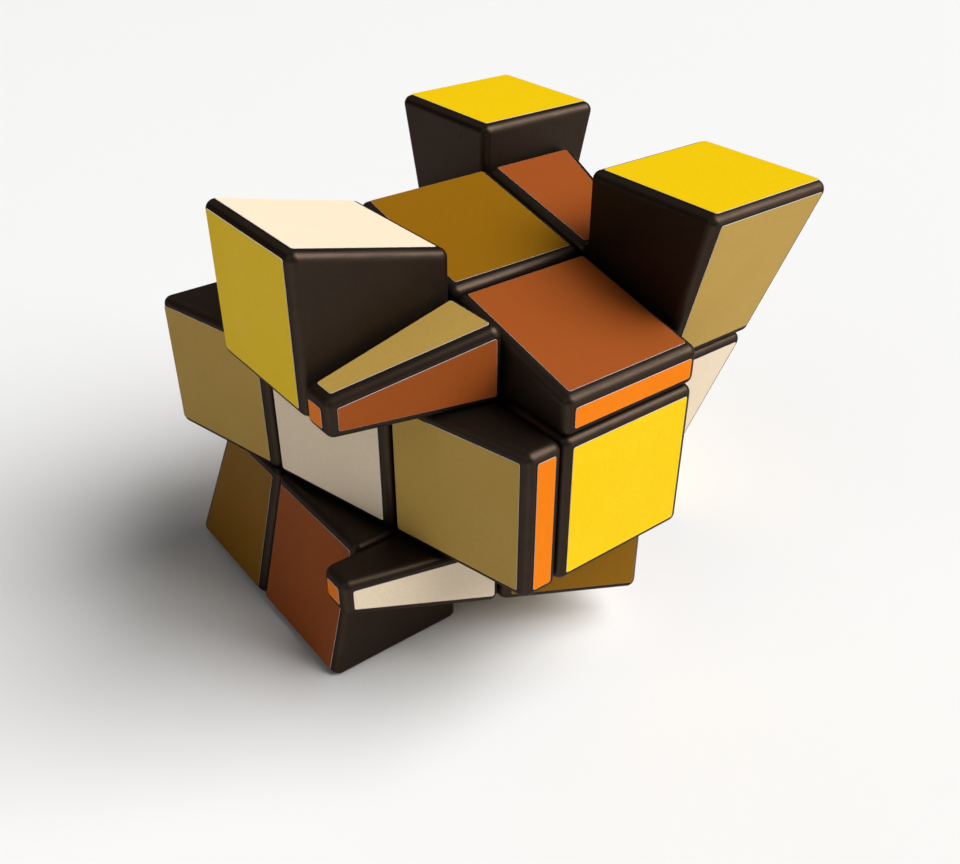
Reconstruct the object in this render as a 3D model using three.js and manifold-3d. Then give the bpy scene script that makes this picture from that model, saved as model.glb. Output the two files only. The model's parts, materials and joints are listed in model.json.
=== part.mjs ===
// A twisty puzzle of twenty-six blocks whose solved shape is a square pyramid with its tip cut off.
// Two pairs of parallel cuts on each axis divide it as they divide a cube, so every face layer turns,
// and each block keeps the slant of the side that it came from. Here the layers have been scrambled.
// Millimetres, +Z up. The origin is on the surface it stands on, right under the core's centre.

import * as THREE from "three";
import { ConvexGeometry } from "three/addons/geometries/ConvexGeometry.js";
import { mergeVertices } from "three/addons/utils/BufferGeometryUtils.js";
import Module from "manifold-3d";

const wasm = await Module();
wasm.setup();

// ---- Driving dimensions of the solved shape ----
const BASE_WIDTH = 57; // side of the square yellow base
const TOP_WIDTH = 28.5; // side of the square orange top
const HEIGHT = 57; // from the base to the top
const CELL = 19; // distance between two parallel cuts, which is the middle slice's thickness
const EDGE_BREAK = 1.1; // chamfer along every edge of a block

// ---- Driving dimensions of the mechanism ----
const GAP = 0.3; // running clearance between any two pieces
const SKIN = 1.9; // least plastic between a side face and the ball that the feet turn in
const HOOK = 4.0; // how far a foot reaches behind the block beside it
const CORE_RADIUS = 9.0; // ball that the ends of the core's arms lie on
const HUB_RADIUS = 5.8; // solid middle of the core
const ARM_RADIUS = 4.3; // one of the core's six arms
const SCREW_RADIUS = 1.5; // threaded shank
const SCREW_DEPTH = 5.5; // length of shank inside the core's arm
const HEAD_RADIUS = 2.6;
const HEAD_HEIGHT = 1.7;
const RECESS_WIDTH = 0.8; // slots of the cross recess in the screw's head
const RECESS_DEPTH = 0.9;
const WASHER_RADIUS = 2.8;
const WASHER_THICKNESS = 0.5;
const SPRING_WIRE = 0.22; // radius of the wire
const SPRING_TURNS = 4;
const SEAT_THICKNESS = 1.5; // floor of a centre's bore, which the spring presses on
const CAP_HALF = 5.2; // half the side of the square cap that closes a centre's bore
const CAP_THICKNESS = 1.0;
const CAP_SINK = 0.3; // depth of the cap's face below the block's, so that the sticker lies flat over it
const SPIGOT_LENGTH = 1.2; // how far the cap's round spigot reaches into the bore

// ---- Sizes worked out from them ----
const halfCell = CELL / 2;
const halfHook = halfCell - HOOK;
const halfGap = GAP / 2;
const slope = (BASE_WIDTH - TOP_WIDTH) / (2 * HEIGHT);
const sideAtMiddle = (BASE_WIDTH + TOP_WIDTH) / 4;
const sideDistance = sideAtMiddle / Math.hypot(1, slope);
const shellInner = CORE_RADIUS + halfGap;
const shellOuter = Math.min(sideDistance, HEIGHT / 2) - SKIN;
const stemHalf = halfHook - halfGap;
const boreRadius = WASHER_RADIUS + GAP;
const boreFloor = CORE_RADIUS + GAP + SEAT_THICKNESS;
const recessDepth = (CAP_SINK + CAP_THICKNESS + GAP) * Math.hypot(1, slope);
const lowestFace = Math.min(sideAtMiddle, HEIGHT / 2);
const headTop = lowestFace - recessDepth - slope * boreRadius - SPIGOT_LENGTH - GAP;
const headBottom = headTop - HEAD_HEIGHT;
const washerTop = headBottom - GAP;
const washerBottom = washerTop - WASHER_THICKNESS;
const springRadius = SCREW_RADIUS + 2 * GAP + SPRING_WIRE;
const springBottom = boreFloor + GAP;
const springTop = washerBottom - GAP;
const standHeight = Math.max(BASE_WIDTH, HEIGHT) / 2;
const ROUND = 20;
const BALL_SEGMENTS = 28;

const COLOURS = {
  orange: "#fa881e",
  yellow: "#f6d01e",
  rust: "#9b5023",
  khaki: "#b4945a",
  cream: "#fcebcc",
  mustard: "#8e6315",
};
const PLASTIC = "#2d2520";

const DIRECTIONS = {
  right: new THREE.Vector3(1, 0, 0),
  left: new THREE.Vector3(-1, 0, 0),
  back: new THREE.Vector3(0, 1, 0),
  front: new THREE.Vector3(0, -1, 0),
  up: new THREE.Vector3(0, 0, 1),
  down: new THREE.Vector3(0, 0, -1),
};

// Where each colour's face looks in the solved shape, with the narrow orange end up.
const HOME = {
  orange: DIRECTIONS.up,
  yellow: DIRECTIONS.down,
  rust: DIRECTIONS.right,
  khaki: DIRECTIONS.back,
  cream: DIRECTIONS.left,
  mustard: DIRECTIONS.front,
};

// The scramble. Each block is named by its colours, then says where its narrow end points, and where
// one of its side faces looks.
const CORNERS = [
  [["orange", "rust", "khaki"], "front", "khaki", "up"],
  [["yellow", "rust", "khaki"], "down", "khaki", "right"],
  [["orange", "khaki", "cream"], "front", "cream", "right"],
  [["yellow", "cream", "mustard"], "up", "mustard", "front"],
  [["orange", "cream", "mustard"], "left", "cream", "front"],
  [["yellow", "khaki", "cream"], "front", "cream", "down"],
  [["yellow", "mustard", "rust"], "down", "mustard", "left"],
  [["orange", "mustard", "rust"], "down", "mustard", "back"],
];
const EDGES = [
  [["orange", "rust"], "right", "rust", "up"],
  [["yellow", "cream"], "back", "cream", "up"],
  [["orange", "khaki"], "right", "khaki", "front"],
  [["yellow", "khaki"], "right", "khaki", "front"],
  [["rust", "mustard"], "right", "rust", "up"],
  [["khaki", "cream"], "down", "cream", "right"],
  [["yellow", "rust"], "up", "rust", "front"],
  [["cream", "mustard"], "front", "mustard", "right"],
  [["orange", "cream"], "down", "cream", "left"],
  [["orange", "mustard"], "left", "mustard", "up"],
  [["rust", "khaki"], "down", "rust", "left"],
  [["yellow", "mustard"], "front", "mustard", "down"],
];
const CENTRES = [
  [["mustard"], "right", "mustard", "up"],
  [["cream"], "right", "cream", "front"],
  [["yellow"], "left", "cream", "front"],
  [["orange"], "left", "cream", "front"],
  [["rust"], "up", "rust", "back"],
  [["khaki"], "left", "khaki", "down"],
];

/** A closed three.js geometry as a solid that can be joined and cut. */
function solidOf(geometry) {
  const bare = geometry.index ? geometry.toNonIndexed() : geometry.clone();
  bare.deleteAttribute("normal");
  bare.deleteAttribute("uv");
  const welded = mergeVertices(bare, 1e-5);
  const mesh = new wasm.Mesh({
    numProp: 3,
    vertProperties: new Float32Array(welded.attributes.position.array),
    triVerts: new Uint32Array(welded.index.array),
  });
  mesh.merge();
  return new wasm.Manifold(mesh);
}

/** A solid back as a three.js geometry with flat faces. */
function geometryOf(solid) {
  const { vertProperties, triVerts, numProp } = solid.getMesh();
  const points = new Float32Array((vertProperties.length / numProp) * 3);
  for (let i = 0; i < points.length / 3; i += 1) {
    for (let k = 0; k < 3; k += 1) {
      points[3 * i + k] = vertProperties[numProp * i + k];
    }
  }
  const geometry = new THREE.BufferGeometry();
  geometry.setAttribute("position", new THREE.BufferAttribute(points, 3));
  geometry.setIndex(new THREE.BufferAttribute(new Uint32Array(triVerts), 1));
  const flat = geometry.toNonIndexed();
  flat.computeVertexNormals();
  return flat;
}

/** A box between two opposite corners. */
function box(low, high) {
  const size = new THREE.Vector3().subVectors(high, low);
  const middle = new THREE.Vector3().addVectors(high, low).multiplyScalar(0.5);
  const geometry = new THREE.BoxGeometry(size.x, size.y, size.z);
  return solidOf(geometry.translate(middle.x, middle.y, middle.z));
}

/** A ball about the core's centre. */
function ball(radius) {
  return solidOf(new THREE.SphereGeometry(radius, BALL_SEGMENTS, BALL_SEGMENTS / 2));
}

/** A round bar along +Z from one height to another. */
function bar(radius, from, to) {
  const geometry = new THREE.CylinderGeometry(radius, radius, to - from, ROUND);
  return solidOf(geometry.rotateX(Math.PI / 2).translate(0, 0, (from + to) / 2));
}

/** The turn that carries +Z to a direction. */
function turnFromUp(direction) {
  return new THREE.Quaternion().setFromUnitVectors(DIRECTIONS.up, direction);
}

/** A solid turned about the core's centre. */
function turned(solid, quaternion) {
  const matrix = new THREE.Matrix4().makeRotationFromQuaternion(quaternion);
  return solid.transform(matrix.toArray());
}

/** The turn that carries a block from the solved shape to its place in the scramble. */
function placement([, narrowEnd, colour, looks]) {
  const basis = (first, second) => {
    const third = new THREE.Vector3().crossVectors(first, second);
    return new THREE.Matrix4().makeBasis(first, second, third);
  };
  const home = basis(HOME.orange, HOME[colour]);
  const now = basis(DIRECTIONS[narrowEnd], DIRECTIONS[looks]);
  return new THREE.Quaternion().setFromRotationMatrix(now.multiply(home.transpose()));
}

/** A block's cell in the solved shape: -1, 0 or 1 along each axis. */
function homeCell(colours) {
  const cell = new THREE.Vector3();
  for (const colour of colours) {
    cell.add(HOME[colour]);
  }
  return cell;
}

/** The outer plane of one colour in the solved shape, as a unit normal and a distance. */
function facePlane(colour) {
  if (colour === "orange" || colour === "yellow") {
    return { normal: HOME[colour].clone(), distance: HEIGHT / 2 };
  }
  const normal = HOME[colour].clone().addScaledVector(HOME.orange, slope).normalize();
  return { normal, distance: sideDistance };
}

/** The six planes round a block's outer body, in the solved shape. */
function blockPlanes(colours) {
  const cell = homeCell(colours);
  const planes = colours.map(facePlane);
  for (const axis of ["x", "y", "z"]) {
    const along = new THREE.Vector3();
    along[axis] = 1;
    if (cell[axis] === 0) {
      planes.push({ normal: along.clone(), distance: halfCell - halfGap });
      planes.push({ normal: along.clone().negate(), distance: halfCell - halfGap });
    } else {
      planes.push({ normal: along.multiplyScalar(-cell[axis]), distance: -halfCell - halfGap });
    }
  }
  return planes;
}

/** The point where three planes meet, or null where they don't. */
function meeting(a, b, c) {
  const across = new THREE.Vector3().crossVectors(b.normal, c.normal);
  const volume = a.normal.dot(across);
  if (Math.abs(volume) < 1e-6) {
    return null;
  }
  const point = across.multiplyScalar(a.distance);
  point.addScaledVector(new THREE.Vector3().crossVectors(c.normal, a.normal), b.distance);
  point.addScaledVector(new THREE.Vector3().crossVectors(a.normal, b.normal), c.distance);
  return point.divideScalar(volume);
}

/** The plane in a face, square to it, that lies a chamfer's width inside its edge with a neighbour. */
function insetPlane(face, neighbour, vertex) {
  const normal = neighbour.normal.clone();
  normal.addScaledVector(face.normal, -normal.dot(face.normal)).normalize();
  return { normal, distance: normal.dot(vertex) - EDGE_BREAK };
}

/** A six-sided block with chamfered edges, as the hull of its six shrunken faces. */
function chamferedBlock(planes) {
  const points = [];
  for (let i = 0; i < planes.length; i += 1) {
    for (let j = i + 1; j < planes.length; j += 1) {
      for (let k = j + 1; k < planes.length; k += 1) {
        const trio = [planes[i], planes[j], planes[k]];
        const vertex = meeting(...trio);
        const inside = (plane) => vertex.dot(plane.normal) <= plane.distance + 1e-6;
        if (vertex === null || !planes.every(inside)) {
          continue;
        }
        for (let turn = 0; turn < 3; turn += 1) {
          const face = trio[turn];
          const next = insetPlane(face, trio[(turn + 1) % 3], vertex);
          const last = insetPlane(face, trio[(turn + 2) % 3], vertex);
          points.push(meeting(face, next, last));
        }
      }
    }
  }
  return solidOf(new ConvexGeometry(points));
}

/** The box behind a cell that its foot fills, out to the edge of the feet's ball. */
function footBox(cell) {
  const low = new THREE.Vector3();
  const high = new THREE.Vector3();
  for (const axis of ["x", "y", "z"]) {
    const reach = shellOuter + GAP;
    const near = halfHook + halfGap;
    low[axis] = cell[axis] === 0 ? -stemHalf : Math.min(cell[axis] * near, cell[axis] * reach);
    high[axis] = cell[axis] === 0 ? stemHalf : Math.max(cell[axis] * near, cell[axis] * reach);
  }
  return box(low, high);
}

const footBall = ball(shellOuter - halfGap);
const blockBall = ball(shellOuter + halfGap);
const neckBall = ball(shellOuter + GAP);
const coreRoom = ball(shellInner + halfGap);

/** An outer block with a foot on its inside that reaches in behind the blocks beside it. */
function footedBlock(colours) {
  const block = chamferedBlock(blockPlanes(colours));
  const foot = footBox(homeCell(colours));
  const neck = block.intersect(foot).intersect(neckBall);
  const hook = foot.intersect(footBall).add(neck).subtract(coreRoom);
  return block.subtract(blockBall).add(hook);
}

/** A square plate sunk a given depth into a centre's face, and standing a given height out of it. */
function facePlate(colour, halfWidth, depth, height) {
  const { normal } = facePlane(colour);
  const faceHeight = axisHeight(colour);
  const low = new THREE.Vector3(-halfWidth, -halfWidth, -depth);
  const high = new THREE.Vector3(halfWidth, halfWidth, height);
  const square = turned(box(low, high), turnFromUp(HOME[colour]));
  const tilt = new THREE.Quaternion().setFromUnitVectors(HOME[colour], normal);
  const middle = HOME[colour].clone().multiplyScalar(faceHeight);
  return turned(square, tilt).translate(middle.toArray());
}

/** The height at which a centre's own axis leaves its outer face. */
function axisHeight(colour) {
  const { normal, distance } = facePlane(colour);
  return distance / normal.dot(HOME[colour]);
}

/** A centre: a square stem on the core and a block over the feet, bored for the screw and its spring. */
function centreBody(colours) {
  const [colour] = colours;
  const axis = turnFromUp(HOME[colour]);
  const bore = turned(bar(boreRadius, boreFloor, axisHeight(colour)), axis);
  const shankHole = turned(bar(SCREW_RADIUS + GAP, 0, boreFloor + GAP), axis);
  const floorDepth = CAP_SINK + CAP_THICKNESS + GAP;
  const recess = facePlate(colour, CAP_HALF + GAP, floorDepth, CAP_THICKNESS);
  return footedBlock(colours).subtract(bore).subtract(shankHole).subtract(recess);
}

/** A centre's cap: a square plate just below the face, with a spigot that locates it in the bore. */
function centreCap(colours) {
  const [colour] = colours;
  const top = axisHeight(colour) - (CAP_SINK + CAP_THICKNESS / 2) * Math.hypot(1, slope);
  const bottom = axisHeight(colour) - recessDepth - slope * boreRadius - SPIGOT_LENGTH;
  const spigot = turned(bar(boreRadius - GAP, bottom, top), turnFromUp(HOME[colour]));
  return facePlate(colour, CAP_HALF, CAP_SINK + CAP_THICKNESS, -CAP_SINK).add(spigot);
}

/** The core: a hub with six arms, each drilled for a centre's screw. */
function coreSolid() {
  let core = solidOf(new THREE.SphereGeometry(HUB_RADIUS, ROUND, ROUND / 2));
  for (const direction of Object.values(DIRECTIONS)) {
    core = core.add(turned(bar(ARM_RADIUS, 0, CORE_RADIUS + GAP), turnFromUp(direction)));
  }
  core = core.intersect(ball(CORE_RADIUS));
  const holeFloor = CORE_RADIUS - SCREW_DEPTH - GAP;
  for (const direction of Object.values(DIRECTIONS)) {
    const hole = bar(SCREW_RADIUS + GAP, holeFloor, CORE_RADIUS + GAP);
    core = core.subtract(turned(hole, turnFromUp(direction)));
  }
  return core;
}

/** A turned profile of radius and height pairs, closed onto the axis at both ends. */
function lathe(pairs) {
  const profile = pairs.map(([radius, height]) => new THREE.Vector2(radius, height));
  return new THREE.LatheGeometry(profile, ROUND).rotateX(Math.PI / 2);
}

/** A pan-head screw with a cross recess. */
function screwSolid() {
  const bottom = CORE_RADIUS - SCREW_DEPTH;
  const point = SCREW_RADIUS * 0.5;
  const crown = HEAD_HEIGHT * 0.35;
  const screw = solidOf(lathe([
    [0, bottom],
    [point, bottom],
    [SCREW_RADIUS, bottom + point],
    [SCREW_RADIUS, headBottom],
    [HEAD_RADIUS, headBottom],
    [HEAD_RADIUS, headTop - crown],
    [HEAD_RADIUS - crown, headTop],
    [0, headTop],
  ]));
  const arm = HEAD_RADIUS * 0.62;
  const half = RECESS_WIDTH / 2;
  const floor = headTop - RECESS_DEPTH;
  const slotX = box(new THREE.Vector3(-arm, -half, floor), new THREE.Vector3(arm, half, headTop + 1));
  const slotY = box(new THREE.Vector3(-half, -arm, floor), new THREE.Vector3(half, arm, headTop + 1));
  return screw.subtract(slotX.add(slotY));
}

/** The flat washer that the screw's head turns on. */
function washerGeometry() {
  const hole = SCREW_RADIUS + GAP;
  return lathe([
    [hole, washerBottom],
    [WASHER_RADIUS, washerBottom],
    [WASHER_RADIUS, washerTop],
    [hole, washerTop],
    [hole, washerBottom],
  ]);
}

/** The line down the middle of the spring's wire. */
class SpringCurve extends THREE.Curve {
  getPoint(t, target = new THREE.Vector3()) {
    const angle = 2 * Math.PI * SPRING_TURNS * t;
    const height = THREE.MathUtils.lerp(springBottom + SPRING_WIRE, springTop - SPRING_WIRE, t);
    return target.set(springRadius * Math.cos(angle), springRadius * Math.sin(angle), height);
  }
}

/** The compression spring that keeps a centre, and so its whole layer, pressed to the core. */
function springGeometry() {
  const section = new THREE.Shape().absarc(0, 0, SPRING_WIRE, 0, 2 * Math.PI);
  return new THREE.ExtrudeGeometry(section, {
    curveSegments: 2,
    steps: 8 * SPRING_TURNS,
    extrudePath: new SpringCurve(),
  });
}

const puzzle = new THREE.Group();
puzzle.name = "pyramid_puzzle";
const assembly = new THREE.Group();
assembly.position.z = standHeight;
puzzle.add(assembly);

/** Adds one named piece to the assembly, turned about the core's centre. */
function addPiece(name, geometry, look, quaternion = new THREE.Quaternion()) {
  const mesh = new THREE.Mesh(geometry, new THREE.MeshStandardMaterial(look));
  mesh.name = name;
  mesh.quaternion.copy(quaternion);
  assembly.add(mesh);
}

const plastic = { color: PLASTIC, roughness: 0.45, metalness: 0 };
const steel = { color: "#b8bbbf", roughness: 0.3, metalness: 1 };

addPiece("core", geometryOf(coreSolid()), { color: "#e8e6e0", roughness: 0.5, metalness: 0 });

for (const entry of CENTRES) {
  const [[colour]] = entry;
  const place = placement(entry);
  const outward = HOME[colour].clone().applyQuaternion(place);
  const along = turnFromUp(outward);
  addPiece(`centre_body_${colour}`, geometryOf(centreBody(entry[0])), plastic, place);
  addPiece(`centre_cap_${colour}`, geometryOf(centreCap(entry[0])), plastic, place);
  addPiece(`screw_${colour}`, geometryOf(screwSolid()), steel, along);
  addPiece(`washer_${colour}`, washerGeometry(), steel, along);
  addPiece(`spring_${colour}`, springGeometry(), steel, along);
}
for (const entry of EDGES) {
  addPiece(`edge_${entry[0].join("_")}`, geometryOf(footedBlock(entry[0])), plastic, placement(entry));
}
for (const entry of CORNERS) {
  addPiece(`corner_${entry[0].join("_")}`, geometryOf(footedBlock(entry[0])), plastic, placement(entry));
}

export default puzzle;
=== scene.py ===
"""The finished look of a puzzle that solves into a square pyramid with its tip cut off.

Every outer block is a six-sided body with rounded edges, hollowed where the mechanism's ball turns,
with a foot behind it. Thin vinyl stickers lie on the coloured faces. Lengths inside the classes are
millimetres about the core's centre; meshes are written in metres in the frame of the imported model.
"""

import json
import logging
import math
from dataclasses import dataclass, field
from enum import Enum

import bpy
import numpy as np
from mathutils import Matrix, Vector


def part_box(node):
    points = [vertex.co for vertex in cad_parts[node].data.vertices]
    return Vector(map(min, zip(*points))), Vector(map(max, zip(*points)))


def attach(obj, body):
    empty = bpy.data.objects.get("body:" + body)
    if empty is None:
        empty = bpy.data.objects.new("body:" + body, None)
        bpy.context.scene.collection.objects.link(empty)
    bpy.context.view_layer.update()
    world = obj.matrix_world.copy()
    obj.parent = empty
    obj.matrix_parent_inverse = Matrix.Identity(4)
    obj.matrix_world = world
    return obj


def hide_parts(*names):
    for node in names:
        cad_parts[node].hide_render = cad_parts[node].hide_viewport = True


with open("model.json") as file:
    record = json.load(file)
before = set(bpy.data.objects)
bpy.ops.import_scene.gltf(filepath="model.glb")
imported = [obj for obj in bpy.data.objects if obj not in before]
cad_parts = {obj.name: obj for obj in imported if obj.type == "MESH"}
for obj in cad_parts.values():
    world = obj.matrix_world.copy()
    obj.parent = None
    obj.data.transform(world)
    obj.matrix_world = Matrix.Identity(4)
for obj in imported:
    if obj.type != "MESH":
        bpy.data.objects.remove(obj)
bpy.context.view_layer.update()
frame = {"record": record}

LOG = logging.getLogger("pyramid_puzzle")
MM = 0.001


class Way(Enum):
    """The six ways that a face can look, seen by someone standing in front of the puzzle."""

    RIGHT = (1, 0, 0)
    LEFT = (-1, 0, 0)
    BACK = (0, 1, 0)
    FRONT = (0, -1, 0)
    UP = (0, 0, 1)
    DOWN = (0, 0, -1)

    @property
    def vector(self) -> np.ndarray:
        """The way as a unit vector."""
        return np.array(self.value, float)


class Colour(Enum):
    """The sides of the solved shape, each with the way it looks while the orange end is up."""

    ORANGE = Way.UP
    YELLOW = Way.DOWN
    RUST = Way.RIGHT
    KHAKI = Way.BACK
    CREAM = Way.LEFT
    MUSTARD = Way.FRONT

    @property
    def word(self) -> str:
        """The colour's name as node names spell it."""
        return self.name.lower()

    @property
    def home(self) -> np.ndarray:
        """The way this side looks in the solved shape."""
        return self.value.vector

    @property
    def is_end(self) -> bool:
        """Whether this side is one of the two flat ends."""
        return self in (Colour.ORANGE, Colour.YELLOW)


class Kind(Enum):
    """The three kinds of outer block, by how many coloured faces each has."""

    CENTRE = 1
    EDGE = 2
    CORNER = 3


@dataclass(frozen=True)
class PuzzleSizes:
    """Driving sizes of the puzzle, in millimetres.

    Attributes:
        base_width: width of the yellow end of the solved shape.
        top_width: width of its orange end.
        height: distance between its two ends.
        cell: distance between neighbouring cuts.
        gap: width of the mechanism's running gaps.
        cut_gap: width of the gaps that show between blocks.
        skin: thickness of a block's outer wall over the ball that the feet turn in.
        hook: how far a foot reaches in behind its neighbour.
        core_radius: radius of the hub at the middle.
        edge_radius: radius of a block's rounded edges.
        sticker_thickness: thickness of a sticker.
    """

    base_width: float = 57.0
    top_width: float = 28.5
    height: float = 57.0
    cell: float = 19.0
    gap: float = 0.3
    cut_gap: float = 0.1
    skin: float = 1.9
    hook: float = 4.0
    core_radius: float = 9.0
    edge_radius: float = 1.12
    sticker_thickness: float = 0.08

    @property
    def slope(self) -> float:
        """How far a side comes in for each millimetre of height."""
        return (self.base_width - self.top_width) / (2 * self.height)

    @property
    def side_distance(self) -> float:
        """Distance from the core's centre to a slanted side."""
        return (self.base_width + self.top_width) / 4 / math.hypot(1, self.slope)

    @property
    def ball_radius(self) -> float:
        """Radius of the ball that the feet turn in."""
        return min(self.side_distance, self.height / 2) - self.skin

    @property
    def hook_half(self) -> float:
        """Half the width of a centre's square stem, with half the gap left out."""
        return self.cell / 2 - self.hook


@dataclass(frozen=True)
class Place:
    """One block of the scramble.

    Attributes:
        colours: the colours of its outer faces.
        narrow_end: the way that its orange end has been turned to.
        colour: one of the slanted sides, which fixes the turn about that way.
        looks: the way that this side has been turned to.
    """

    colours: tuple[Colour, ...]
    narrow_end: Way
    colour: Colour
    looks: Way

    @property
    def kind(self) -> Kind:
        """The kind of block, from its number of colours."""
        return Kind(len(self.colours))

    @property
    def node(self) -> str:
        """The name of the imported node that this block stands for."""
        stem = "centre_body" if self.kind is Kind.CENTRE else self.kind.name.lower()
        return "_".join([stem, *(colour.word for colour in self.colours)])

    @property
    def cell(self) -> np.ndarray:
        """The block's cell in the solved shape: -1, 0 or 1 along each axis."""
        return sum(colour.home for colour in self.colours)

    @property
    def turn(self) -> np.ndarray:
        """The turn from the solved shape to the scramble, as a 3 by 3 matrix.

        Each pair of ways, with their cross product, is a right-handed set of axes. The turn carries
        the home set to the present set.
        """
        home = (Colour.ORANGE.home, self.colour.home)
        now = (self.narrow_end.vector, self.looks.vector)
        bases = [np.column_stack([*pair, np.cross(*pair)]) for pair in (home, now)]
        return bases[1] @ bases[0].T


def scramble() -> list[Place]:
    """The twenty-six outer blocks and where each has been turned to.

    Returns:
        The blocks, corners first, then edges, then centres.
    """
    orange, yellow, rust, khaki, cream, mustard = Colour
    right, left, back, front, up, down = Way
    return [
        Place((orange, rust, khaki), front, khaki, up),
        Place((yellow, rust, khaki), down, khaki, right),
        Place((orange, khaki, cream), front, cream, right),
        Place((yellow, cream, mustard), up, mustard, front),
        Place((orange, cream, mustard), left, cream, front),
        Place((yellow, khaki, cream), front, cream, down),
        Place((yellow, mustard, rust), down, mustard, left),
        Place((orange, mustard, rust), down, mustard, back),
        Place((orange, rust), right, rust, up),
        Place((yellow, cream), back, cream, up),
        Place((orange, khaki), right, khaki, front),
        Place((yellow, khaki), right, khaki, front),
        Place((rust, mustard), right, rust, up),
        Place((khaki, cream), down, cream, right),
        Place((yellow, rust), up, rust, front),
        Place((cream, mustard), front, mustard, right),
        Place((orange, cream), down, cream, left),
        Place((orange, mustard), left, mustard, up),
        Place((rust, khaki), down, rust, left),
        Place((yellow, mustard), front, mustard, down),
        Place((mustard,), right, mustard, up),
        Place((cream,), right, cream, front),
        Place((yellow,), left, cream, front),
        Place((orange,), left, cream, front),
        Place((rust,), up, rust, back),
        Place((khaki,), left, khaki, down),
    ]


@dataclass
class Surface:
    """A surface as whole arrays.

    Attributes:
        points: the points, in millimetres about the core's centre.
        normals: each point's unit normal.
        faces: the four corners of each face, as point indices.
        mark: one number for each point, for the materials.
    """

    points: np.ndarray
    normals: np.ndarray
    faces: np.ndarray
    mark: np.ndarray

    def turned(self, turn: np.ndarray) -> "Surface":
        """The surface after a rotation about the origin."""
        return Surface(self.points @ turn.T, self.normals @ turn.T, self.faces, self.mark)

    def joined(self, *others: "Surface") -> "Surface":
        """This surface and others as one, each still closed in itself.

        Args:
            others: the surfaces to add.

        Returns:
            One surface that holds them all.
        """
        parts = [self, *others]
        starts = np.cumsum([0] + [len(part.points) for part in parts[:-1]])
        return Surface(
            np.concatenate([part.points for part in parts]),
            np.concatenate([part.normals for part in parts]),
            np.concatenate([part.faces + start for part, start in zip(parts, starts)]),
            np.concatenate([part.mark for part in parts]),
        )

    def welded(self, grain: float = 1e-4) -> "Surface":
        """The surface with points closer than a grain made one, so that its seams and poles close.

        Args:
            grain: the side, in millimetres, of the cells that points are sorted into.

        Returns:
            The welded surface. A point takes the normal of the first of the points it stands for.
        """
        keys = np.round(self.points / grain).astype(np.int64)
        _, first, index = np.unique(keys, axis=0, return_index=True, return_inverse=True)
        index = index.reshape(-1)
        return Surface(self.points[first], self.normals[first], index[self.faces], self.mark[first])

    def piece(self, name: str, centre: np.ndarray, mark_name: str) -> bpy.types.Object:
        """Writes the surface into a new mesh object that sits at the origin.

        A face with two corners in one place is written as a triangle, and one with fewer than three
        different corners is left out.

        Args:
            name: the object's name.
            centre: the core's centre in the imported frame, in metres.
            mark_name: the name of the point attribute that holds the marks.

        Returns:
            The new object, linked to the scene.
        """
        double = self.faces == np.roll(self.faces, -1, axis=1)
        doubles = double.sum(axis=1)
        quads = self.faces[doubles == 0]
        collapsed = self.faces[doubles == 1]
        drop = np.argmax(double[doubles == 1], axis=1)
        order = (drop[:, None] + np.arange(1, 4)) % 4
        triangles = np.take_along_axis(collapsed, order, axis=1)
        mesh = bpy.data.meshes.new(name)
        sizes = np.concatenate([np.full(len(quads), 4), np.full(len(triangles), 3)])
        corners = np.concatenate([quads.ravel(), triangles.ravel()])
        mesh.vertices.add(len(self.points))
        mesh.loops.add(len(corners))
        mesh.polygons.add(len(sizes))
        placed = self.points * MM + centre
        mesh.vertices.foreach_set("co", placed.astype(np.float32).ravel())
        mesh.loops.foreach_set("vertex_index", corners.astype(np.int32))
        mesh.polygons.foreach_set("loop_start", np.cumsum([0, *sizes[:-1]]).astype(np.int32))
        mesh.update(calc_edges=True)
        mesh.polygons.foreach_set("use_smooth", np.ones(len(sizes), bool))
        mesh.attributes.new(mark_name, "FLOAT", "POINT").data.foreach_set(
            "value", self.mark.astype(np.float32)
        )
        mesh.normals_split_custom_set_from_vertices(self.normals.astype(np.float32).tolist())
        mesh.validate()
        made = bpy.data.objects.new(name, mesh)
        bpy.context.scene.collection.objects.link(made)
        return made


def grid_faces(rows: int, columns: int) -> np.ndarray:
    """The four-cornered faces of a grid of points stored row by row.

    Args:
        rows: number of points along the first parameter.
        columns: number of points along the second parameter.

    Returns:
        An array of point indices, one row of four for each face.
    """
    start = (np.arange(rows - 1)[:, None] * columns + np.arange(columns - 1)).ravel()
    return np.column_stack([start, start + columns, start + columns + 1, start + 1])


def unit(vectors: np.ndarray) -> np.ndarray:
    """Vectors scaled to length one."""
    return vectors / np.linalg.norm(vectors, axis=-1, keepdims=True)


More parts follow.
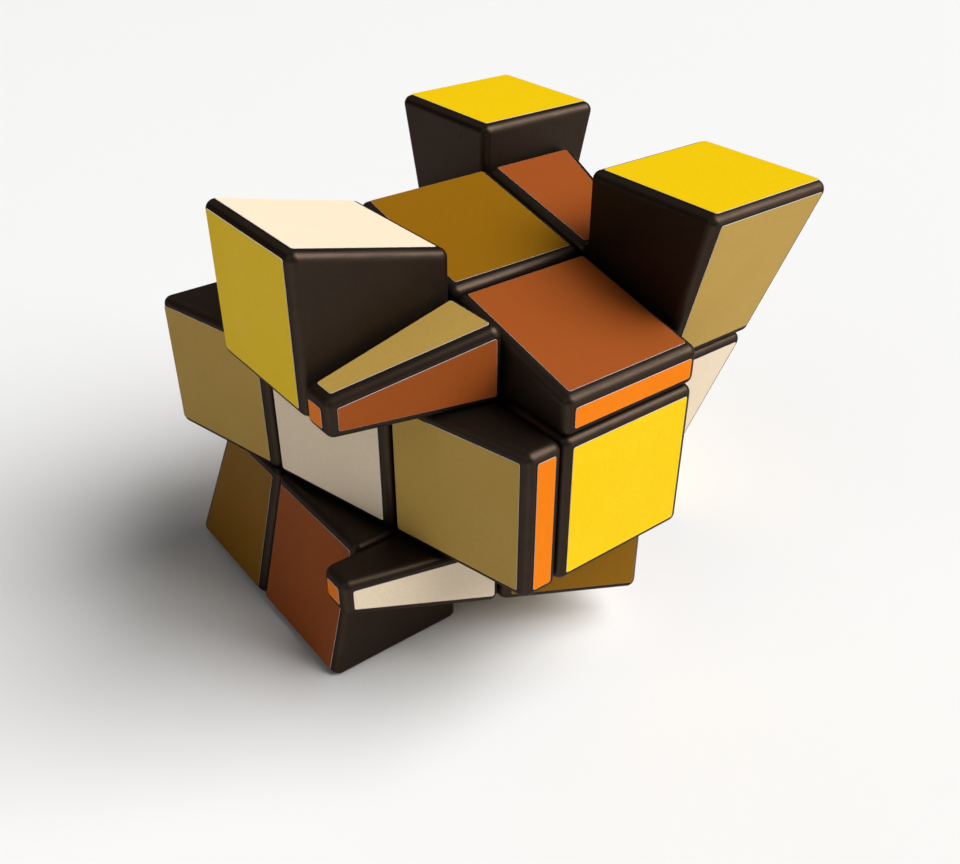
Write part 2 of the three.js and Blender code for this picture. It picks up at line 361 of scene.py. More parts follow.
@dataclass(frozen=True)
class RoundedHexahedron:
    """A body with six flat faces in three opposite pairs, its edges and corners rounded by a ball.

    Attributes:
        normals: outward unit normals, by axis and by low or high side.
        distances: each face's distance from the origin along its normal.
        radius: radius of the rounded edges.
        flat_steps: how many strips cross the flat of a face.
        round_steps: how many strips cross half of a rounded edge.
    """

    normals: np.ndarray
    distances: np.ndarray
    radius: float
    flat_steps: int = 10
    round_steps: int = 5

    def vertices(self, inset: float = 0.0) -> np.ndarray:
        """The eight points where three faces meet.

        Args:
            inset: how far every face is moved in first.

        Returns:
            An array indexed by the low or high side on each of the three axes.
        """
        low, middle, high = np.meshgrid([0, 1], [0, 1], [0, 1], indexing="ij")
        rows = np.stack([self.normals[0, low], self.normals[1, middle], self.normals[2, high]], -2)
        reach = [self.distances[0, low], self.distances[1, middle], self.distances[2, high]]
        return np.linalg.solve(rows, (np.stack(reach, -1) - inset)[..., None])[..., 0]

    def face(self, axis: int, side: int, inner: np.ndarray) -> Surface:
        """One face with its share of the rounding round it, as a grid.

        Each parameter first crosses half of one rounded edge, then the flat, then half of the other
        edge. On the flat, a point is the bilinear mean of the inner body's four corners, moved out
        by the radius along the face's normal. On the rounding the point of the inner body stays at
        its rim while the normal leans towards the neighbouring face: it is the face's normal plus
        the neighbour's normal times the tangent of an angle that grows evenly to an eighth of a
        turn, made unit length. Neighbouring faces meet halfway, at equal shares of both normals.

        Args:
            axis: the axis of the pair that the face belongs to.
            side: 0 for the low face of the pair, 1 for the high one.
            inner: the inner body's vertices.

        Returns:
            The grid. Its mark is 0 on the flat and grows to 1 halfway round an edge.
        """
        first, second = (axis + 1) % 3, (axis + 2) % 3
        corners = np.take(inner, side, axis=axis)
        if axis == 1:
            corners = corners.swapaxes(0, 1)
        lean = np.tan(np.linspace(0, math.pi / 4, self.round_steps + 1)[1:])
        share = np.concatenate(
            [np.zeros(self.round_steps), np.linspace(0, 1, self.flat_steps + 1),
             np.ones(self.round_steps)]
        )
        high = np.concatenate([np.zeros(self.round_steps + self.flat_steps + 1), lean])
        low = high[::-1]
        across, along = share[:, None, None], share[None, :, None]
        core = (
            corners[0, 0] * (1 - across) * (1 - along) + corners[1, 0] * across * (1 - along)
            + corners[0, 1] * (1 - across) * along + corners[1, 1] * across * along
        )
        normal = unit(
            self.normals[axis, side]
            + low[:, None, None] * self.normals[first, 0]
            + high[:, None, None] * self.normals[first, 1]
            + low[None, :, None] * self.normals[second, 0]
            + high[None, :, None] * self.normals[second, 1]
        )
        points = core + self.radius * normal
        mark = np.maximum(np.maximum(low, high)[:, None], np.maximum(low, high)[None, :])
        faces = grid_faces(len(share), len(share))
        if side == 0:
            faces = faces[:, ::-1]
        return Surface(points.reshape(-1, 3), normal.reshape(-1, 3), faces, mark.ravel())

    def surface(self) -> Surface:
        """The whole surface, its six faces welded along their shared halfway lines.

        Returns:
            The surface, which is closed.
        """
        inner = self.vertices(self.radius)
        faces = [self.face(axis, side, inner) for axis in range(3) for side in (0, 1)]
        return faces[0].joined(*faces[1:]).welded()


def pushed_out(surface: Surface, cell: np.ndarray, radius: float) -> Surface:
    """The surface with the part inside a ball moved out onto the ball.

    A point nearer the origin than the radius keeps its places along the axes on which its cell is
    in the middle, and its other places grow in proportion until it lies on the ball. Faces square
    to the kept axes stay flat, so the result is exactly the body with the ball cut out of it.

    Args:
        surface: the surface to change.
        cell: the block's cell, -1, 0 or 1 along each axis.
        radius: the ball's radius.

    Returns:
        The changed surface, with its moved points' normals facing the ball's centre.
    """
    off = np.abs(cell) > 0
    moving, kept = surface.points * off, surface.points * ~off
    distance = np.linalg.norm(surface.points, axis=1)
    reach = np.sqrt(np.maximum(radius**2 - (kept**2).sum(axis=1), 0))
    growth = reach / np.maximum(np.linalg.norm(moving, axis=1), 1e-9)
    inside = (distance < radius)[:, None]
    points = np.where(inside, kept + moving * growth[:, None], surface.points)
    normals = np.where(inside, -unit(points), surface.normals)
    return Surface(points, normals, surface.faces, surface.mark)


def pulled_in(surface: Surface, cell: np.ndarray, start: float, radius: float) -> Surface:
    """The surface with the part outside a ball drawn back onto the ball.

    A point farther from the origin than the radius keeps its places along the axes on which its
    cell is in the middle. On the others it slides back along a line to where the foot starts, until
    it lies on the ball, so the foot's inner sides stay flat.

    Args:
        surface: the surface to change.
        cell: the block's cell, -1, 0 or 1 along each axis.
        start: how far out along each of its axes the foot starts.
        radius: the ball's radius.

    Returns:
        The changed surface, with its moved points' normals facing out of the ball.
    """
    off = np.abs(cell) > 0
    anchor = np.where(off, cell * start, surface.points)
    line = surface.points - anchor
    length = np.maximum((line**2).sum(axis=1), 1e-12)
    half = (anchor * line).sum(axis=1)
    spare = (anchor**2).sum(axis=1) - radius**2
    share = (-half + np.sqrt(np.maximum(half**2 - length * spare, 0))) / length
    outside = (np.linalg.norm(surface.points, axis=1) > radius)[:, None]
    points = np.where(outside, anchor + line * share[:, None], surface.points)
    normals = np.where(outside, unit(points), surface.normals)
    return Surface(points, normals, surface.faces, surface.mark)


@dataclass(frozen=True)
class Block:
    """One outer block: its rounded body, the foot behind it, and where its stickers lie."""

    place: Place
    sizes: PuzzleSizes

    def side_plane(self, colour: Colour, depth: float = 0.0) -> tuple[np.ndarray, float]:
        """The plane of one side of the solved shape.

        Args:
            colour: the side's colour.
            depth: how far the plane is moved in.

        Returns:
            Its outward unit normal and its distance from the core's centre.
        """
        if colour.is_end:
            return colour.home, self.sizes.height / 2 - depth
        leaning = unit(colour.home + self.sizes.slope * Colour.ORANGE.home)
        return leaning, self.sizes.side_distance - depth

    def hexahedron(self, depth: float, radius: float, gap: float) -> RoundedHexahedron:
        """The block's outer body in the solved shape.

        Args:
            depth: how far its coloured faces lie inside the puzzle's outer planes.
            radius: radius of its rounded edges.
            gap: the width of the gap between it and the blocks beside it.

        Returns:
            The body, its faces in pairs along the three axes.
        """
        normals = np.repeat(np.eye(3)[:, None], 2, axis=1) * np.array([-1, 1])[None, :, None]
        half = self.sizes.cell / 2
        distances = np.full((3, 2), half - gap / 2)
        for colour in self.place.colours:
            axis = int(np.argmax(np.abs(colour.home)))
            side = int(colour.home[axis] > 0)
            normals[axis, side], distances[axis, side] = self.side_plane(colour, depth)
            distances[axis, 1 - side] = -half - gap / 2
        return RoundedHexahedron(normals, distances, radius)

    def box(self, near: float, far: float, half: float) -> RoundedHexahedron:
        """A plain box over the block's cell.

        Args:
            near: how far out it starts along each axis that its cell is off the middle on.
            far: how far out it ends along those axes.
            half: half its width along the other axes.

        Returns:
            The box, with very slightly rounded edges.
        """
        normals = np.repeat(np.eye(3)[:, None], 2, axis=1) * np.array([-1, 1])[None, :, None]
        cell = self.place.cell
        distances = np.column_stack([
            np.select([cell == 0, cell > 0], [half, -near], far),
            np.select([cell == 0, cell > 0], [half, far], -near),
        ])
        return RoundedHexahedron(normals, distances, 0.15, flat_steps=8, round_steps=1)

    def surface(self) -> Surface:
        """The block in the scramble: its body with the ball cut out, and its foot and neck.

        Returns:
            Three closed shells as one surface.
        """
        sizes, cell = self.sizes, self.place.cell
        ball, slack = sizes.ball_radius, sizes.gap / 2
        start, half = sizes.hook_half + slack, sizes.hook_half - slack
        body = self.hexahedron(sizes.sticker_thickness, sizes.edge_radius, sizes.cut_gap).surface()
        body = pushed_out(body, cell, ball + slack)
        foot = self.box(start, ball + sizes.gap, half).surface()
        foot = pulled_in(foot, cell, start, ball - slack)
        foot = pushed_out(foot, cell, sizes.core_radius + sizes.gap)
        neck_start = sizes.cell / 2 + slack
        neck = self.box(neck_start, ball + 2 * sizes.gap, half).surface()
        neck = pulled_in(neck, cell, neck_start, ball + 2 * slack)
        neck = pushed_out(neck, cell, ball - 2 * slack)
        return body.joined(foot, neck).turned(self.place.turn)


@dataclass(frozen=True)
class Sticker:
    """One vinyl sticker: the outline of a block's coloured face, set in from its edges.

    Attributes:
        block: the block that it is stuck to.
        colour: the face that it covers.
        margin: how far its edge lies inside the face's sharp outline.
        corner_radius: radius of its rounded corners.
        rim: radius of the tiny roll along its cut edge.
        corner_steps: how many strips cross a rounded corner.
    """

    block: Block
    colour: Colour
    margin: float = 1.16
    corner_radius: float = 0.28
    rim: float = 0.024
    corner_steps: int = 6

    @property
    def name(self) -> str:
        """The piece's name."""
        return f"sticker_{self.colour.word}_on_{self.block.place.node}"

    def corners(self) -> tuple[np.ndarray, np.ndarray, np.ndarray]:
        """The face's four corners, set in by the margin and the corner radius.

        Returns:
            The corners in order round the face, the outward direction in the face across the edge
            that leaves each corner, and the face's normal.
        """
        sizes = self.block.sizes
        body = self.block.hexahedron(0.0, sizes.edge_radius, 0.0)
        axis = int(np.argmax(np.abs(self.colour.home)))
        side = int(self.colour.home[axis] > 0)
        first, second = (axis + 1) % 3, (axis + 2) % 3
        face = np.take(body.vertices(), side, axis=axis)
        if axis == 1:
            face = face.swapaxes(0, 1)
        ring = np.stack([face[0, 0], face[1, 0], face[1, 1], face[0, 1]])
        normal = body.normals[axis, side]
        beside = np.stack([
            body.normals[second, 0], body.normals[first, 1],
            body.normals[second, 1], body.normals[first, 0],
        ])
        outward = unit(beside - (beside @ normal)[:, None] * normal)
        if side == 0:
            ring, outward = ring[::-1], np.roll(outward[::-1], -1, axis=0)
        before = np.roll(outward, 1, axis=0)
        rows = np.stack([np.broadcast_to(normal, (4, 3)), outward, before], axis=1)
        inset = np.array([0, 1, 1]) * (self.margin + self.corner_radius)
        targets = np.einsum("nij,nj->ni", rows, ring) - inset
        return np.linalg.solve(rows, targets[..., None])[..., 0], outward, normal

    def surface(self) -> Surface:
        """The sticker as a closed sheet in the scramble.

        The first parameter runs round the outline, whose corners are arcs about the inset corners.
        The second runs from the middle of the underside out to the edge, up the cut edge, over its
        tiny roll and back to the middle of the top. A point lies on the outline, drawn in by an
        amount and raised by a height, and then drawn towards the middle by a share.

        Returns:
            The sheet, marked 1 along its cut edge and 0 elsewhere.
        """
        centres, outward, normal = self.corners()
        before = np.roll(outward, 1, axis=0)
        turn = np.linspace(0, 1, self.corner_steps + 1)[None, :, None]
        arcs = unit(before[:, None] * (1 - turn) + outward[:, None] * turn)
        arcs = arcs.reshape(-1, 3)
        hubs = np.repeat(centres, self.corner_steps + 1, axis=0)
        thick, rim = self.block.sizes.sticker_thickness, self.rim
        roll = np.linspace(0, math.pi / 2, 4)
        drawn = np.concatenate([np.zeros(3), [0.0], rim * (1 - np.cos(roll)), np.full(4, rim)])
        height = np.concatenate([np.zeros(4), thick - rim + rim * np.sin(roll), np.full(4, thick)])
        share = np.concatenate([[0.0, 0.5, 0.8, 1.0], np.ones(4), [0.8, 0.5, 0.25, 0.0]])
        lean = np.concatenate([np.zeros(4), np.cos(roll), np.zeros(4)])
        facing = np.concatenate([-np.ones(4), np.sin(roll), np.ones(4)])
        middle = centres.mean(axis=0)
        outline = hubs[:, None] + (self.corner_radius - drawn)[None, :, None] * arcs[:, None]
        flat = middle + share[None, :, None] * (outline - middle)
        lift = (height - thick)[None, :, None]
        points = flat + lift * normal
        normals = unit(lean[None, :, None] * arcs[:, None] + facing[None, :, None] * normal)
        points = np.concatenate([points, points[:1]])
        normals = np.concatenate([normals, normals[:1]])
        mark = np.broadcast_to((lean > 0.3).astype(float), points.shape[:2])
        faces = grid_faces(*points.shape[:2])
        sheet = Surface(points.reshape(-1, 3), normals.reshape(-1, 3), faces, mark.ravel())
        return sheet.turned(self.block.place.turn)


Socket = bpy.types.NodeSocket
Shade = tuple[float, float, float]
Spot = tuple[float, float, float]


@dataclass
class Graph:
    """A node tree that is being drawn, with short ways to add what it often needs."""

    tree: bpy.types.NodeTree

    def node(self, kind: str, **settings: object) -> bpy.types.Node:
        """Adds a node and sets its properties.

        Args:
            kind: the node's type.
            settings: values for the node's own properties.

        Returns:
            The new node.
        """
        made = self.tree.nodes.new(kind)
        for key, value in settings.items():
            setattr(made, key, value)
        return made

    def feed(self, target: Socket, value: object) -> None:
        """Links a socket to an input, or sets the input to a constant.

        Args:
            target: the input.
            value: a socket, or a constant of the input's own type.
        """
        if isinstance(value, Socket):
            self.tree.links.new(value, target)
        else:
            target.default_value = value

    def math(self, operation: str, first: object, second: object = 0.0) -> Socket:
        """Arithmetic on two numbers, whose result isn't clamped.

        Args:
            operation: the Math node's operation.
            first: the first number, as a socket or a constant.
            second: the second one, which an operation on one number leaves out.

        Returns:
            The result's socket.
        """
        made = self.node("ShaderNodeMath", operation=operation)
        self.feed(made.inputs[0], first)
        self.feed(made.inputs[1], second)
        return made.outputs[0]

    def between(self, value: Socket, low: float, high: float, out: tuple[float, float]) -> Socket:
        """A number eased from one range to another, and held at the ends.

        Args:
            value: the number.
            low: where its range starts.
            high: where its range ends.
            out: the start and end of the range that it is carried to.

        Returns:
            The eased number's socket.
        """
        made = self.node("ShaderNodeMapRange", interpolation_type="SMOOTHSTEP")
        for index, number in enumerate((value, low, high, *out)):
            self.feed(made.inputs[index], number)
        return made.outputs["Result"]

    def noise(self, where: Socket, scale: object, detail: float, rough: float = 0.5) -> Socket:
        """Cloudy noise about one half.

        Args:
            where: the coordinates, in metres.
            scale: cells to the metre.
            detail: how many finer layers are added.
            rough: how strong the finer layers are.

        Returns:
            The noise's number.
        """
        made = self.node("ShaderNodeTexNoise", noise_dimensions="3D")
        self.feed(made.inputs["Vector"], where)
        self.feed(made.inputs["Scale"], scale)
        self.feed(made.inputs["Detail"], detail)
        self.feed(made.inputs["Roughness"], rough)
        return made.outputs["Fac"]

    def mix(self, share: object, first: object, second: object) -> Socket:
        """Two colours mixed.

        Args:
            share: the share of the second, from 0 to 1.
            first: the first colour.
            second: the second colour.

        Returns:
            The mixed colour's socket.
        """
        made = self.node("ShaderNodeMix", data_type="RGBA")
        for name, value in (("Factor", share), ("A", first), ("B", second)):
            fits = [socket for socket in made.inputs if socket.name == name and socket.enabled]
            self.feed(fits[0], value)
        return [socket for socket in made.outputs if socket.enabled][0]

    def place(self, group: bpy.types.NodeTree, **values: object) -> bpy.types.Node:
        """Places a shared effect and feeds its inputs.

        Args:
            group: the effect.
            values: its inputs by name, with underscores for spaces.

        Returns:
            The placed effect's node.
        """
        made = self.node("ShaderNodeGroup", node_tree=group)
        for key, value in values.items():
            self.feed(made.inputs[key.replace("_", " ")], value)
        return made


@dataclass
class Effects:
    """The shared effects, each a node group that is made once and placed in many materials."""

    grain: bpy.types.NodeTree = field(init=False)
    handling: bpy.types.NodeTree = field(init=False)
    wear: bpy.types.NodeTree = field(init=False)

    def __post_init__(self) -> None:
        """Draws the three groups."""
        self.grain = self.draw_grain()
        self.handling = self.draw_handling()
        self.wear = self.draw_wear()

    @staticmethod
    def start(name: str, inputs: dict[str, float], outputs: list[str]) -> tuple[Graph, dict, dict]:
        """Makes an empty group with a Vector input, named numbers in and named numbers out.

        Args:
            name: the group's name.
            inputs: each number's name and its usual value.
            outputs: the names of the numbers put out.

        Returns:
            The graph, its input sockets by name, and the sockets to feed by output name.
        """
        tree = bpy.data.node_groups.new(name, "ShaderNodeTree")
        tree.interface.new_socket("Vector", in_out="INPUT", socket_type="NodeSocketVector")
        for key, usual in inputs.items():
            made = tree.interface.new_socket(key, in_out="INPUT", socket_type="NodeSocketFloat")
            made.default_value = usual
        for key in outputs:
            tree.interface.new_socket(key, in_out="OUTPUT", socket_type="NodeSocketFloat")
        graph = Graph(tree)
        given = graph.node("NodeGroupInput")
        wanted = graph.node("NodeGroupOutput")
        return graph, {s.name: s for s in given.outputs}, {s.name: s for s in wanted.inputs}

    def draw_grain(self) -> bpy.types.NodeTree:
        """Draws the fine pebbled skin that a spark-eroded mould gives, over a slow swell.

        Returns:
            The group.
        """
        graph, given, wanted = self.start(
            "moulded_grain", {"Scale": 5200.0, "Swell": 0.25}, ["Height", "Speckle"]
        )
        fine = graph.noise(given["Vector"], given["Scale"], 2.0, 0.6)
        slow = graph.noise(given["Vector"], 150.0, 2.0)
        swell = graph.math("MULTIPLY", slow, given["Swell"])
        graph.feed(wanted["Height"], graph.math("ADD", fine, swell))
        graph.feed(wanted["Speckle"], graph.between(fine, 0.35, 0.65, (0.0, 1.0)))
        return graph.tree

    def draw_handling(self) -> bpy.types.NodeTree:
        """Draws finger smudges as slow clouds, and scratches where stretched noise crosses half.

        Returns:
            The group.
        """
        graph, given, wanted = self.start(
            "handling_marks", {"Smudge Scale": 90.0, "Scratch Width": 0.004}, ["Smudge", "Scratch"]
        )
        cloud = graph.noise(given["Vector"], given["Smudge Scale"], 4.0, 0.55)
        graph.feed(wanted["Smudge"], graph.between(cloud, 0.42, 0.66, (0.0, 1.0)))
        stretched = graph.node("ShaderNodeMapping")
        graph.feed(stretched.inputs["Vector"], given["Vector"])
        graph.feed(stretched.inputs["Rotation"], (0.5, 0.9, 0.3))
        graph.feed(stretched.inputs["Scale"], (1.0, 9.0, 1.0))
        line = graph.noise(stretched.outputs["Vector"], 42.0, 1.0)
        off = graph.math("ABSOLUTE", graph.math("SUBTRACT", line, 0.5))
        thin = graph.math("LESS_THAN", off, given["Scratch Width"])
        patch = graph.between(graph.noise(given["Vector"], 160.0, 1.0), 0.55, 0.7, (0.0, 1.0))
        graph.feed(wanted["Scratch"], graph.math("MULTIPLY", thin, patch))
        return graph.tree

    def draw_wear(self) -> bpy.types.NodeTree:
        """Draws polish along rounded edges: the edge mark, eased and broken up by noise.

        Returns:
            The group.
        """
        graph, given, wanted = self.start("edge_wear", {"Edge": 0.0, "Start": 0.35}, ["Mask"])
        uneven = graph.noise(given["Vector"], 420.0, 3.0)
        height = graph.math("ADD", given["Edge"], graph.math("SUBTRACT", uneven, 0.5))
        start = graph.math("SUBTRACT", height, given["Start"])
        graph.feed(wanted["Mask"], graph.between(start, 0.0, 0.6, (0.0, 1.0)))
        return graph.tree


@dataclass(frozen=True)
class Finish:
    """What every finish has.

    Attributes:
        name: the material's name.
        colour: its base colour, in linear light.
        roughness: how dull its gloss is, from 0 to 1.
    """

    name: str
    colour: Shade
    roughness: float

    def begin(self) -> tuple[Graph, bpy.types.Material, bpy.types.Node, Socket]:
        """Makes an empty material with its shader.

        Returns:
            The graph, the material, the shader, and the object's own coordinates in metres.
        """
        made = bpy.data.materials.new(self.name)
        made.use_nodes = True
        made.diffuse_color = (*self.colour, 1.0)
        made.node_tree.nodes.clear()
        graph = Graph(made.node_tree)
        shader = graph.node("ShaderNodeBsdfPrincipled")
        output = graph.node("ShaderNodeOutputMaterial")
        graph.feed(output.inputs["Surface"], shader.outputs["BSDF"])
        where = graph.node("ShaderNodeTexCoord").outputs["Object"]
        return graph, made, shader, where

    def shade(self, lightness: float, warmth: float = 0.0) -> tuple[float, float, float, float]:
        """The base colour made lighter or darker, and warmer or cooler.

        Args:
            lightness: what every channel is multiplied by.
            warmth: the share that red gains and blue loses.

        Returns:
            The colour, with an alpha of 1.
        """
        red, green, blue = (channel * lightness for channel in self.colour)
        return (red * (1 + warmth), green, blue * (1 - warmth), 1.0)

    def bump(self, graph: Graph, shader: bpy.types.Node, height: Socket, depth: float) -> None:
        """Feeds the shader's normal from a height.

        Args:
            graph: the material's graph.
            shader: the shader.
            height: the height, from 0 to 1.
            depth: how deep its full range is, in metres.
        """
        made = graph.node("ShaderNodeBump")
        graph.feed(made.inputs["Height"], height)
        made.inputs["Strength"].default_value = 1.0
        made.inputs["Distance"].default_value = depth
        graph.feed(shader.inputs["Normal"], made.outputs["Normal"])


@dataclass(frozen=True)
class MouldedPlastic(Finish):
    """Injection-moulded plastic with a fine grain, polished edges and finger smudges.

    Attributes:
        grain_depth: depth of the grain, in metres.
        metal_share: how much of it reflects as dark metal does, which keeps its outlines dark.
        glancing: the tint of that reflection at glancing angles.
        worn: how much less rough its rubbed edges are.
    """

    grain_depth: float = 0.000004
    metal_share: float = 0.0
    glancing: Shade = (1.0, 1.0, 1.0)
    worn: float = 0.05

    def material(self, effects: Effects) -> bpy.types.Material:
        """Draws the material.

        Args:
            effects: the shared effects.

        Returns:
            The material.
        """
        graph, made, shader, where = self.begin()
        edge = graph.node("ShaderNodeAttribute", attribute_name="edge").outputs["Fac"]
        grain = graph.place(effects.grain, Vector=where)
        marks = graph.place(effects.handling, Vector=where)
        wear = graph.place(effects.wear, Vector=where, Edge=edge)
        mottled = graph.mix(grain.outputs["Speckle"], self.shade(0.9), self.shade(1.1, 0.03))
        rubbed = graph.mix(wear.outputs["Mask"], mottled, self.shade(1.35, 0.05))
        dulled = graph.mix(
            graph.math("MULTIPLY", marks.outputs["Smudge"], 0.25), rubbed, self.shade(1.3, 0.02)
        )
        graph.feed(shader.inputs["Base Color"], dulled)
        polish = graph.math("MULTIPLY", wear.outputs["Mask"], -self.worn)
        smudge = graph.math("MULTIPLY", marks.outputs["Smudge"], 0.07)
        scratch = graph.math("MULTIPLY", marks.outputs["Scratch"], 0.12)
        rough = graph.math("ADD", self.roughness, polish)
        graph.feed(
            shader.inputs["Roughness"], graph.math("ADD", graph.math("ADD", rough, smudge), scratch)
        )
        shader.inputs["Metallic"].default_value = self.metal_share
        shader.inputs["Specular Tint"].default_value = (*self.glancing, 1.0)
        height = graph.math("SUBTRACT", grain.outputs["Height"], marks.outputs["Scratch"])
        self.bump(graph, shader, height, self.grain_depth)
        return made


@dataclass(frozen=True)
class VinylSticker(Finish):
    """Printed vinyl with a faint tooth and mottle; its pale cut edge is white core plus painted
    highlight.

    Attributes:
        tooth_depth: depth of the tooth, in metres.
        specular: strength of its clear gloss.
        index: refractive index of its clear face.
        mottle_scale: cells of the mottle to the metre.
        mottle: the darkest and lightest that the mottle makes the colour.
        film: colour of the cut edge, partly the white core and partly a painted highlight.
    """

    tooth_depth: float = 0.000003
    specular: float = 1.0
    index: float = 1.105
    mottle_scale: float = 2600.0
    mottle: tuple[float, float] = (0.968, 1.032)
    film: tuple[float, float, float, float] = (0.66, 0.64, 0.68, 1.0)

    def material(self, effects: Effects) -> bpy.types.Material:
        """Draws the material.

        Args:
            effects: the shared effects.

        Returns:
            The material.
        """
        graph, made, shader, where = self.begin()
        rim = graph.node("ShaderNodeAttribute", attribute_name="rim").outputs["Fac"]
        tooth = graph.place(effects.grain, Vector=where, Scale=6500.0, Swell=0.4)
        marks = graph.place(effects.handling, Vector=where, Smudge_Scale=120.0, Scratch_Width=0.003)
        cloud = graph.noise(where, self.mottle_scale, 3.0, 0.6)
        blotch = graph.between(cloud, 0.3, 0.7, (0.0, 1.0))
        printed = graph.mix(blotch, *(self.shade(lightness) for lightness in self.mottle))
        toothed = graph.mix(
            graph.math("MULTIPLY", tooth.outputs["Speckle"], 0.4), printed, self.shade(0.93)
        )
        soiled = graph.mix(
            graph.math("MULTIPLY", marks.outputs["Smudge"], 0.35), toothed, self.shade(0.94, 0.02)
        )
        # The cut edge turns pale: partly the white core, partly a painted highlight for the sheen on
        # lit edges.
        graph.feed(shader.inputs["Base Color"], graph.mix(rim, soiled, self.film))
        smudge = graph.math("MULTIPLY", marks.outputs["Smudge"], 0.08)
        scratch = graph.math("MULTIPLY", marks.outputs["Scratch"], 0.1)
        rough = graph.math("ADD", graph.math("ADD", self.roughness, smudge), scratch)
        graph.feed(shader.inputs["Roughness"], rough)
        shader.inputs["Specular IOR Level"].default_value = self.specular
        shader.inputs["IOR"].default_value = self.index
        height = graph.math("SUBTRACT", tooth.outputs["Height"], marks.outputs["Scratch"])
        self.bump(graph, shader, height, self.tooth_depth)
        return made


@dataclass(frozen=True)
class BrightSteel(Finish):
    """Plated steel wire and turned steel, with fine marks left by the tool.

    Attributes:
        mark_scale: cells of the tool's marks to the metre.
        mark_depth: depth of the marks, in metres.
    """

    mark_scale: float = 9000.0
    mark_depth: float = 0.000003

    def material(self, effects: Effects) -> bpy.types.Material:
        """Draws the material.

        Args:
            effects: the shared effects.

        Returns:
            The material.
        """
        graph, made, shader, where = self.begin()
        marks = graph.place(effects.handling, Vector=where, Smudge_Scale=700.0, Scratch_Width=0.01)
        fine = graph.noise(where, self.mark_scale, 2.0)
        tone = graph.mix(marks.outputs["Smudge"], self.shade(1.0), self.shade(0.8, 0.04))
        graph.feed(shader.inputs["Base Color"], tone)
        shader.inputs["Metallic"].default_value = 1.0
        rough = graph.math("ADD", self.roughness, graph.math("MULTIPLY", fine, 0.15))
        graph.feed(shader.inputs["Roughness"], rough)
        height = graph.math("ADD", fine, marks.outputs["Scratch"])
        self.bump(graph, shader, height, self.mark_depth)
        return made


def look_at(spot: np.ndarray, aim: np.ndarray) -> Matrix:
    """A turn and place for a lamp, whose own -Z looks from a spot at an aim.

    Args:
        spot: where it stands.
        aim: what it looks at.

    Returns:
        The matrix that puts it there.
    """
    turn = Vector(aim - spot).to_track_quat("-Z", "Y")
    return Matrix.Translation(Vector(spot)) @ turn.to_matrix().to_4x4()


@dataclass(frozen=True)
class Softbox:
    """A square soft lamp.

    Attributes:
        name: the lamp's name.
        azimuth: where it stands round the puzzle, in degrees from +X towards +Y.
        elevation: how high it stands, in degrees.
        size: the length of its sides, in metres.
        power: its power, in watts.
        distance: how far away it stands, in metres.
    """

    name: str
    azimuth: float
    elevation: float
    size: float
    power: float
    distance: float = 20.0

    def build(self, aim: np.ndarray) -> bpy.types.Object:
        """Adds the lamp.

        Args:
            aim: the point that it is aimed at.

        Returns:
            The lamp's object.
        """
        lamp = bpy.data.lights.new(self.name, "AREA")
        lamp.shape = "SQUARE"
        lamp.size, lamp.energy = self.size, self.power
        made = bpy.data.objects.new(self.name, lamp)
        round_, up = math.radians(self.azimuth), math.radians(self.elevation)
        flat = math.cos(up)
        towards = np.array([flat * math.cos(round_), flat * math.sin(round_), math.sin(up)])
        made.matrix_world = look_at(aim + towards * self.distance, aim)
        bpy.context.scene.collection.objects.link(made)
        return made


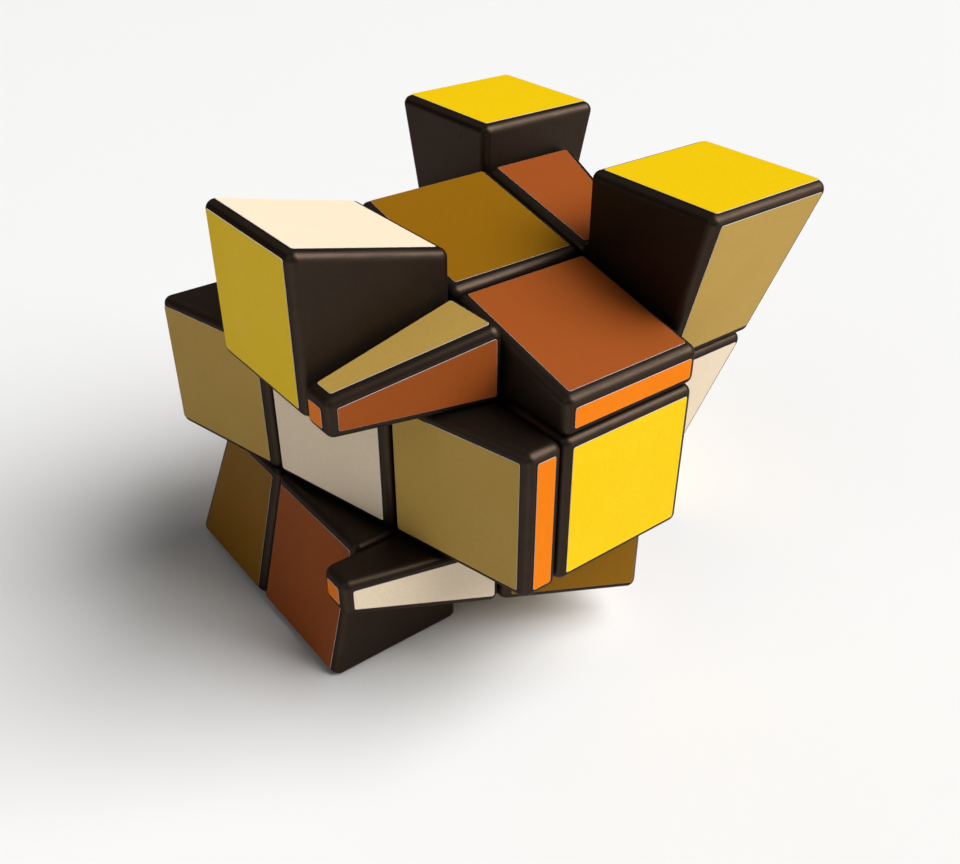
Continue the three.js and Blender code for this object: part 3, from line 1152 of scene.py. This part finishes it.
@dataclass
class Studio:
    """The pale floor, the soft light and the camera.

    Attributes:
        floor_half: half the floor's width, in metres.
        floor_shade: the floor's base colour.
        backdrop_shade: how light the backdrop beyond the floor is.
        lens: the camera's focal length, in millimetres.
        sensor_width: the width of its sensor, in millimetres.
        eye: where the camera stands, in metres.
        forward: the way it looks.
        rightward: the way to its right.
        lamps: the soft lamps.
    """

    floor_half: float = 4.0
    floor_shade: Shade = (0.828, 0.826, 0.822)
    backdrop_shade: float = 0.95
    lens: float = 38.966
    sensor_width: float = 36.0
    eye: Spot = (0.09185, -0.06908, 0.09628)
    forward: Spot = (-0.66203, 0.50902, -0.5501)
    rightward: Spot = (0.60943, 0.79284, 0.00112)
    lamps: tuple[Softbox, ...] = (
        Softbox("key_light", 47.0, 48.0, 16.8, 6520.0),
        Softbox("low_light", 45.0, 14.0, 12.0, 760.0),
        Softbox("left_fill", 180.0, 45.0, 16.0, 300.0),
        Softbox("front_fill", 270.0, 35.0, 16.0, 500.0),
    )

    def floor(self) -> bpy.types.Object:
        """Makes the floor: one flat sheet, not attached to any of the puzzle's bodies.

        Returns:
            The floor's object.
        """
        half = self.floor_half
        mesh = bpy.data.meshes.new("studio_floor")
        corners = [(-half, -half, 0.0), (half, -half, 0.0), (half, half, 0.0), (-half, half, 0.0)]
        mesh.from_pydata(corners, [], [(0, 1, 2, 3)])
        made = bpy.data.objects.new("studio_floor", mesh)
        bpy.context.scene.collection.objects.link(made)
        finish = Finish("floor_paper", self.floor_shade, 0.9)
        graph, material, shader, where = finish.begin()
        cloud = graph.noise(where, 3.0, 2.0)
        tone = graph.mix(cloud, finish.shade(0.995), finish.shade(1.005))
        graph.feed(shader.inputs["Base Color"], tone)
        shader.inputs["Roughness"].default_value = finish.roughness
        shader.inputs["Specular IOR Level"].default_value = 0.1
        mesh.materials.append(material)
        return made

    def camera(self) -> bpy.types.Object:
        """Makes the scene's camera, whose axes are given by where it looks and its right.

        Returns:
            The camera's object.
        """
        forward, right = unit(np.array(self.forward)), np.array(self.rightward)
        right = unit(right - forward * (right @ forward))
        turn = np.column_stack([right, np.cross(right, forward), -forward])
        lens = bpy.data.cameras.new("camera")
        lens.lens, lens.sensor_width, lens.sensor_fit = self.lens, self.sensor_width, "HORIZONTAL"
        lens.clip_start, lens.clip_end = 0.005, 20.0
        lens.dof.use_dof = False
        made = bpy.data.objects.new("camera", lens)
        made.matrix_world = Matrix.Translation(Vector(self.eye)) @ Matrix(turn.tolist()).to_4x4()
        bpy.context.scene.collection.objects.link(made)
        bpy.context.scene.camera = made
        return made

    def world(self) -> None:
        """Puts a pale backdrop beyond the floor, which is seen but sheds no light."""
        world = bpy.data.worlds.new("pale_backdrop")
        world.use_nodes = True
        graph = Graph(world.node_tree)
        sky = world.node_tree.nodes["Background"]
        sky.inputs["Color"].default_value = (1.0, 1.0, 1.0, 1.0)
        seen = graph.node("ShaderNodeLightPath").outputs["Is Camera Ray"]
        graph.feed(sky.inputs["Strength"], graph.math("MULTIPLY", seen, self.backdrop_shade))
        bpy.context.scene.world = world

    def build(self, aim: np.ndarray) -> None:
        """Builds the whole studio.

        Args:
            aim: the point that the lamps are aimed at.
        """
        self.floor()
        self.world()
        self.camera()
        for lamp in self.lamps:
            lamp.build(aim)
        bpy.context.scene.view_settings.view_transform = "Standard"


@dataclass
class Finishes:
    """Every finish on the puzzle, by what it is used for."""

    effects: Effects
    black: MouldedPlastic = MouldedPlastic(
        "black_plastic", (0.0318, 0.022, 0.0158), 0.41, metal_share=0.75, glancing=(0.4, 0.33, 0.28)
    )
    white: MouldedPlastic = MouldedPlastic("core_plastic", (0.75, 0.73, 0.68), 0.45)
    steel: BrightSteel = BrightSteel("plated_steel", (0.6, 0.61, 0.63), 0.22)
    vinyl: dict[Colour, Shade] = field(default_factory=lambda: {
        Colour.ORANGE: (0.81, 0.195, 0.001),
        Colour.YELLOW: (0.845, 0.556, 0.0025),
        Colour.RUST: (0.32, 0.0735, 0.0118),
        Colour.KHAKI: (0.48, 0.305, 0.07),
        Colour.CREAM: (0.875, 0.722, 0.53),
        Colour.MUSTARD: (0.252, 0.11, 0.002),
    })
    made: dict[str, bpy.types.Material] = field(default_factory=dict)

    def __post_init__(self) -> None:
        """Draws every material once."""
        for finish in (self.black, self.white, self.steel):
            self.made[finish.name] = finish.material(self.effects)
        for colour, shade in self.vinyl.items():
            finish = VinylSticker(f"{colour.word}_vinyl", shade, 0.5)
            self.made[finish.name] = finish.material(self.effects)

    def dress(self, piece: bpy.types.Object, name: str) -> None:
        """Gives a piece one finish all over."""
        piece.data.materials.clear()
        piece.data.materials.append(self.made[name])


def main() -> None:
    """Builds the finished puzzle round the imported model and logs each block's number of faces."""
    logging.basicConfig(level=logging.INFO, format="%(message)s")
    sizes = PuzzleSizes()
    finishes = Finishes(Effects())
    low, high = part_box("core")
    centre = np.array((low + high) / 2)
    bodies = frame["record"]["behaviour"]["bodies"]
    body_of = {node: body for body, nodes in bodies.items() for node in nodes}
    for place in scramble():
        block = Block(place, sizes)
        made = block.surface().piece(f"block_{place.node}", centre, "edge")
        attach(made, body_of[place.node])
        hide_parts(place.node)
        finishes.dress(made, "black_plastic")
        for colour in place.colours:
            sticker = Sticker(block, colour)
            sheet = sticker.surface().welded().piece(sticker.name, centre, "rim")
            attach(sheet, body_of[place.node])
            finishes.dress(sheet, f"{colour.word}_vinyl")
        LOG.info("%s: %d faces", made.name, len(made.data.polygons))
    for node in body_of:
        piece = bpy.data.objects[node]
        if node.startswith("centre_cap"):
            finishes.dress(piece, "black_plastic")
        elif node == "core":
            finishes.dress(piece, "core_plastic")
        elif node.split("_")[0] in ("screw", "washer", "spring"):
            finishes.dress(piece, "plated_steel")
    Studio().build(centre)


if __name__ == "__main__":
    main()
